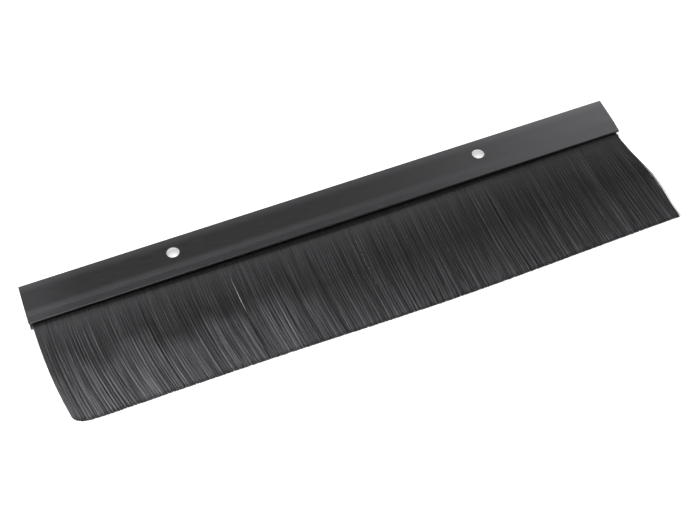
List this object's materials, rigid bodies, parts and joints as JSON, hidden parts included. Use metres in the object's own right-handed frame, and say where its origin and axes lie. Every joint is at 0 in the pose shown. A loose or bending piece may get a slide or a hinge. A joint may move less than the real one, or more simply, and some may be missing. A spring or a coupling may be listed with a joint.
{
  "type": "rack brush strip panel",
  "caption": "Straight brush strip for a server rack: a black flanged aluminium profile with fixing holes holds a long, soft row of black bristles.",
  "frame": {"origin": "midway between the two fixing holes, on the flat mounting side of the flange", "axes": "+X along the strip, +Y from the bristle tips towards the rear edge of the flange, +Z out of the flat mounting side"},
  "size_m": [0.4052, 0.1035, 0.0074],
  "materials": {
    "holder_black": "satin",
    "spine_steel": "galvanised",
    "core_steel": "drawn",
    "bristle_nylon": "satin"
  },
  "bodies": {
    "root": {"holder_profile": "holder_black", "brush_spine": "spine_steel", "core_wire": "core_steel", "bristles": "bristle_nylon"}
  },
  "joints": []
}
